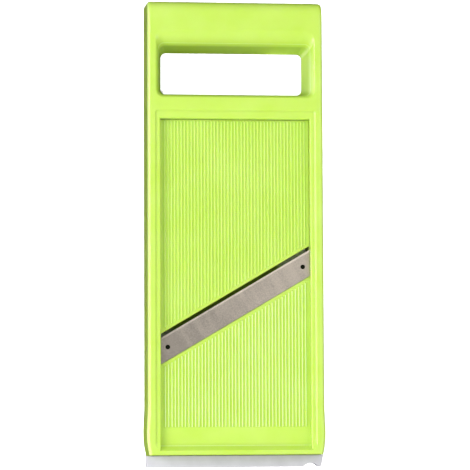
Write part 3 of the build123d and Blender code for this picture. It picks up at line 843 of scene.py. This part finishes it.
class SLICER_OT_knob(bpy.types.Operator):
    """Model the fluted knob with its dished face and screw recess"""

    bl_idname = "slicer.knob"
    bl_label = "Adjuster knob"

    def execute(self, context):
        sizes = context.scene.slicer_sizes
        radius = (KNOB_HIGH.x - KNOB_LOW.x) / 2
        ring_width, hub_radius, dish_depth = 2.4 * MM, 4.6 * MM, 0.9 * MM
        flute_radius, flute_offset = 1.0 * MM, 0.35 * MM
        knob = start_round(KNOB_AXIS, radius, KNOB_LOW.z, KNOB_HIGH.z, sides=192)
        # dished face around a raised hub
        pick_faces(knob, lambda at, normal: normal.z < -0.9)
        bpy.ops.mesh.inset(thickness=ring_width)
        extrude(0, 0, dish_depth)
        bpy.ops.mesh.inset(thickness=radius - ring_width - hub_radius)
        extrude(0, 0, -dish_depth)
        leave_edit()
        flute_middle = KNOB_AXIS + Vector((radius + flute_offset, 0, 0))
        flute = start_round(flute_middle, flute_radius, KNOB_LOW.z - MM, KNOB_HIGH.z + MM, sides=24)
        bpy.ops.mesh.select_all(action="SELECT")
        bpy.ops.mesh.spin(
            steps=sizes.knob_flutes, angle=2 * pi, center=KNOB_AXIS, axis=(0, 0, 1), dupli=True
        )
        bpy.ops.mesh.select_all(action="SELECT")
        bpy.ops.mesh.remove_doubles(threshold=0.01 * MM)
        leave_edit()
        combine(knob, flute, "DIFFERENCE")
        self.bore(knob)
        round_edges(knob, 0.3 * MM, segments=2, sharp_angle=50)
        nylon = moulded_rubber("glass_filled_nylon", context.scene.slicer_colours.knob, 0.45, 0.4)
        settle(knob, "fluted_knob", nylon, "adjuster", ["adjuster_knob"])
        return {"FINISHED"}

    @staticmethod
    def bore(knob):
        """Opens the knob for its screw's head, the screw's shaft and the lead screw."""
        gap, overlap = 0.1 * MM, 0.1 * MM
        head_radius, head_height = (KNOB_SCREW_HIGH.x - KNOB_SCREW_LOW.x) / 2 + gap, 1.9 * MM
        shaft_radius, screw_radius = 1.6 * MM, 3.0 * MM
        head_top = KNOB_SCREW_LOW.z + head_height
        for bore_radius, low, high in (
            (head_radius, KNOB_LOW.z - MM, head_top),
            (shaft_radius, head_top - overlap, SCREW_LOW.z + overlap),
            (screw_radius, SCREW_LOW.z, KNOB_HIGH.z + MM),
        ):
            drill(knob, KNOB_AXIS, bore_radius, low, high, sides=48)


class SLICER_OT_lead_screw(bpy.types.Operator):
    """Model the lead screw: head, neck and a real trapezoidal thread"""

    bl_idname = "slicer.lead_screw"
    bl_label = "Lead screw"

    def execute(self, context):
        sizes = context.scene.slicer_sizes
        crest, neck_radius, bore_radius = 2.97 * MM, 2.0 * MM, 1.5 * MM
        root = crest - sizes.thread_depth
        gap, head_height = 0.1 * MM, 1.0 * MM
        neck_low = RETAINER_BOTTOM - gap
        head_low = SCREW_HIGH.z - head_height
        head_radius = (SCREW_HIGH.x - SCREW_LOW.x) / 2
        screw = start_round(KNOB_AXIS, root, SCREW_LOW.z, neck_low, sides=48)
        pick_faces(screw, lambda at, normal: normal.z > 0.9)
        bpy.ops.mesh.inset(thickness=root - neck_radius)
        extrude(0, 0, head_low - neck_low)
        leave_edit()
        head = start_round(KNOB_AXIS, head_radius, head_low, SCREW_HIGH.z, sides=48)
        leave_edit()
        round_edges(head, 0.15 * MM, segments=2, sharp_angle=30)
        combine(screw, head, "UNION")
        combine(screw, self.thread(sizes, crest, root, neck_low), "UNION")
        drill(screw, KNOB_AXIS, bore_radius, SCREW_LOW.z - MM, KNOB_SCREW_HIGH.z + gap, sides=32)
        steel = bpy.data.materials["ground_pin_steel"]
        settle(screw, "threaded_lead_screw", steel, "adjuster", ["adjuster_screw"])
        return {"FINISHED"}

    @staticmethod
    def thread(sizes, crest, root, top):
        """Closed trapezoidal ridge wound around the screw's core."""
        margin, sunk = 0.3 * MM, 0.15 * MM
        steps_per_turn = 36
        turns = (top - SCREW_LOW.z - 2 * margin - sizes.thread_pitch) / sizes.thread_pitch
        bpy.ops.object.select_all(action="DESELECT")
        bpy.ops.mesh.primitive_plane_add(size=1, rotation=(radians(90), 0, 0))
        bpy.ops.object.transform_apply(location=False, rotation=True, scale=True)
        ridge = bpy.context.active_object
        foot_half, crest_half = 0.36 * sizes.thread_pitch, 0.18 * sizes.thread_pitch
        for vertex in ridge.data.vertices:
            outer = vertex.co.x > 0
            half = crest_half if outer else foot_half
            vertex.co = (crest if outer else root - sunk, 0, half if vertex.co.z > 0 else -half)
        apply_modifier(
            ridge,
            "SCREW",
            angle=2 * pi * turns,
            screw_offset=sizes.thread_pitch * turns,
            steps=round(turns * steps_per_turn),
            render_steps=round(turns * steps_per_turn),
            use_smooth_shade=False,
        )
        bpy.ops.object.mode_set(mode="EDIT")
        bpy.ops.mesh.select_all(action="SELECT")
        bpy.ops.mesh.remove_doubles(threshold=0.001 * MM)
        bpy.ops.mesh.fill_holes(sides=8)
        bpy.ops.mesh.normals_make_consistent(inside=False)
        leave_edit()
        start_z = SCREW_LOW.z + margin + sizes.thread_pitch / 2
        ridge.data.transform(Matrix.Translation((KNOB_AXIS.x, KNOB_AXIS.y, start_z)))
        return ridge


class SLICER_OT_stage(bpy.types.Operator):
    """Set up the floor, the soft lights and the camera above the slicer"""

    bl_idname = "slicer.stage"
    bl_label = "Stage"

    def execute(self, context):
        scene = context.scene
        floor = self.add_floor()
        self.add_world(scene)
        target = Vector((0, 0, CAD_BOX[1][2]))
        # place, width and height in metres, watts, and whether it lights by diffusion and by gloss
        for name, place, size, watts, diffuse, glossy in (
            ("key_softbox", (-1.2, 0.0, 1.1), (0.9, 0.9), 17.5, True, True),
            ("fill_softbox", (0.1, -1.1, 1.1), (0.8, 0.8), 4.0, True, False),
            ("side_softbox", (1.1, 0.0, 1.0), (0.8, 0.8), 5.5, True, True),
            ("rear_softbox", (-0.3, 1.0, 1.6), (0.5, 0.5), 2.0, True, True),
            ("rim_strip", (-1.4, 0.0, 0.1), (2.4, 1.8), 45.0, False, True),
            ("low_rim_strip", (-1.2, 0.0, -0.8), (2.4, 1.8), 14.0, False, True),
        ):
            softbox = self.add_softbox(name, Vector(place), target, size, watts)
            softbox.visible_diffuse = diffuse
            softbox.visible_glossy = glossy
        # a small card under the handle opening's right end shines up at the bar
        card_place = Vector((34 * MM, 116.6 * MM, MM))
        above_card = card_place + Vector((0, 0, 1))
        card = self.add_softbox("opening_card", card_place, above_card, (20 * MM, 16 * MM), 0.0022)
        card.visible_glossy = False
        # another brightens the left wall where it meets the foot
        corner = Vector((-60 * MM, -140 * MM, 20 * MM))
        card_offset = Vector((-110 * MM, -10 * MM, 15 * MM))
        self.add_softbox("corner_card", corner + card_offset, corner, (50 * MM, 30 * MM), 0.04)
        camera = self.add_camera(scene)
        self.add_floor_lamps(floor, camera)
        scene.view_settings.view_transform = "Standard"
        return {"FINISHED"}

    @staticmethod
    def add_floor():
        """Seamless white paper under the slicer, which keeps its bounce off the slicer's sides."""
        bpy.ops.object.select_all(action="DESELECT")
        bpy.ops.mesh.primitive_plane_add(size=20, location=(0, 0, 0))
        floor = bpy.context.active_object
        floor.name = "paper_floor"
        floor.visible_diffuse = False
        floor.visible_glossy = False
        floor.visible_shadow = False
        material, tree, shader, place = new_material("seamless_paper", {"Roughness": 0.9})
        # fibres 1.5 mm across, coarser than real ones, so that they still show
        fibres = add_node(
            tree, "ShaderNodeTexNoise", inputs={"Vector": place, "Scale": scale_for(1.5), "Detail": 4.0}
        )
        tone = add_node(
            tree,
            "ShaderNodeMix",
            {"data_type": "RGBA"},
            {
                MIX_FACTOR: fibres.outputs["Fac"],
                MIX_A: opaque(linear("F8F8F8")),
                MIX_B: opaque(linear("FDFDFD")),
            },
        )
        # painted green light and shade on the paper under the slit, standing in for the green light that
        #         comes down through the plastic: an ellipse along the slit, whose middle lies 9 mm further
        #             up than the blade's
        slit_offset = ACROSS_BLADE * 9 * MM
        half_length, half_width = 68 * MM, 30 * MM
        painted_light_colour = (0.4, 0.58, 0.05)
        painted_light_place = add_node(
            tree,
            "ShaderNodeMapping",
            {"vector_type": "TEXTURE"},
            {
                "Vector": place,
                "Location": BLADE_MIDDLE + slit_offset,
                "Rotation": (0, 0, BLADE_ANGLE),
                "Scale": (half_length, half_width, half_width),
            },
        )
        painted_light_falloff = add_node(
            tree,
            "ShaderNodeTexGradient",
            {"gradient_type": "SPHERICAL"},
            {"Vector": painted_light_place.outputs["Vector"]},
        )
        painted_light_share = add_node(
            tree,
            "ShaderNodeMapRange",
            inputs={"Value": painted_light_falloff.outputs["Fac"], "From Min": 0.04, "From Max": 0.12},
        )
        painted_light_tone = add_node(
            tree,
            "ShaderNodeMix",
            {"data_type": "RGBA"},
            {
                MIX_FACTOR: painted_light_share.outputs["Result"],
                MIX_A: tone.outputs[MIX_RESULT],
                MIX_B: opaque(painted_light_colour),
            },
        )
        tree.links.new(painted_light_tone.outputs[MIX_RESULT], shader.inputs["Base Color"])
        floor.data.materials.append(material)
        return floor

    @staticmethod
    def add_world(scene):
        """Studio that is white overhead and fades to dark a little below the horizon."""
        world = bpy.data.worlds.new("white_studio")
        world.use_nodes = True
        tree = world.node_tree
        direction = add_node(tree, "ShaderNodeTexCoord").outputs["Generated"]
        height = add_node(tree, "ShaderNodeSeparateXYZ", inputs={"Vector": direction})
        dome = add_node(
            tree,
            "ShaderNodeMapRange",
            inputs={
                "Value": height.outputs["Z"],
                "From Min": -0.3,
                "From Max": 0.4,
                "To Min": 0.0,
                "To Max": 0.62,
            },
        )
        seen = add_node(tree, "ShaderNodeLightPath").outputs["Is Camera Ray"]
        strength = add_node(
            tree,
            "ShaderNodeMix",
            {"data_type": "FLOAT"},
            {"Factor": seen, "A": dome.outputs["Result"], "B": 1.0},
        )
        background = tree.nodes["Background"]
        background.inputs["Color"].default_value = opaque(linear("FFFFFF"))
        tree.links.new(strength.outputs["Result"], background.inputs["Strength"])
        scene.world = world

    @staticmethod
    def add_softbox(name, place, target, size, watts):
        """Softbox of a width and a height, aimed at a target and unseen by the camera."""
        light = bpy.data.lights.new(name, "AREA")
        light.shape = "RECTANGLE"
        light.size, light.size_y = size
        light.energy = watts
        softbox = bpy.data.objects.new(name, light)
        softbox.location = place
        softbox.rotation_euler = (target - place).to_track_quat("-Z", "Y").to_euler()
        softbox.visible_camera = False
        bpy.context.scene.collection.objects.link(softbox)
        return softbox

    @staticmethod
    def add_floor_lamps(floor, camera):
        """Two lamps that light only the paper, a little to each side of the camera, square to the
        slit, so that the paper is white and the hollow under the slit stays dark."""
        paper = bpy.data.collections.new("paper")
        paper.objects.link(floor)
        aside = ACROSS_BLADE * 0.3
        for side in (-1, 1):
            light = bpy.data.lights.new(f"paper_lamp_{side}", "SUN")
            light.energy = 2.6
            light.angle = radians(3)
            lamp = bpy.data.objects.new(light.name, light)
            place = camera.location + side * aside
            lamp.location = place
            lamp.rotation_euler = place.to_track_quat("Z", "Y").to_euler()
            lamp.light_linking.receiver_collection = paper
            bpy.context.scene.collection.objects.link(lamp)

    @staticmethod
    def add_camera(scene):
        """Long lens almost straight above, a little to the left and towards the foot."""
        lens = bpy.data.cameras.new("camera")
        lens.lens = 181.56
        lens.sensor_width = 36.0
        camera = bpy.data.objects.new("camera", lens)
        camera.location = (-0.17794, -0.117435, 1.62676)
        camera.rotation_euler = (0.0723, -0.1102, -0.0044)
        scene.collection.objects.link(camera)
        scene.camera = camera
        return camera


class SLICER_PT_panel(bpy.types.Panel):
    """Lists the slicer's parts, sizes and colours in the sidebar"""

    bl_idname = "SLICER_PT_panel"
    bl_label = "Mandoline Slicer"
    bl_space_type = "VIEW_3D"
    bl_region_type = "UI"
    bl_category = "Slicer"

    def draw(self, context):
        layout = self.layout
        for operator in OPERATORS:
            layout.operator(operator.bl_idname)
        for group in (context.scene.slicer_sizes, context.scene.slicer_colours):
            box = layout.box()
            for name in group.bl_rna.properties.keys():
                if name not in ("rna_type", "name"):
                    box.prop(group, name)


OPERATORS = (
    SLICER_OT_mouldings,
    SLICER_OT_blade,
    SLICER_OT_fasteners,
    SLICER_OT_foot,
    SLICER_OT_pads,
    SLICER_OT_knob,
    SLICER_OT_lead_screw,
    SLICER_OT_stage,
)
CLASSES = (SlicerColours, SlicerSizes, *OPERATORS, SLICER_PT_panel)


def register():
    """Adds the classes and the scene's two groups of settings."""
    for cls in CLASSES:
        bpy.utils.register_class(cls)
    bpy.types.Scene.slicer_colours = bpy.props.PointerProperty(type=SlicerColours)
    bpy.types.Scene.slicer_sizes = bpy.props.PointerProperty(type=SlicerSizes)


def unregister():
    """Takes the settings and classes away again."""
    del bpy.types.Scene.slicer_sizes
    del bpy.types.Scene.slicer_colours
    for cls in reversed(CLASSES):
        bpy.utils.unregister_class(cls)


def main():
    """Makes the whole slicer and its stage."""
    register()
    bpy.ops.slicer.stage()
    bpy.ops.slicer.mouldings()
    bpy.ops.slicer.blade()
    bpy.ops.slicer.fasteners()
    bpy.ops.slicer.foot()
    bpy.ops.slicer.pads()
    bpy.ops.slicer.knob()
    bpy.ops.slicer.lead_screw()


if __name__ == "__main__":
    main()
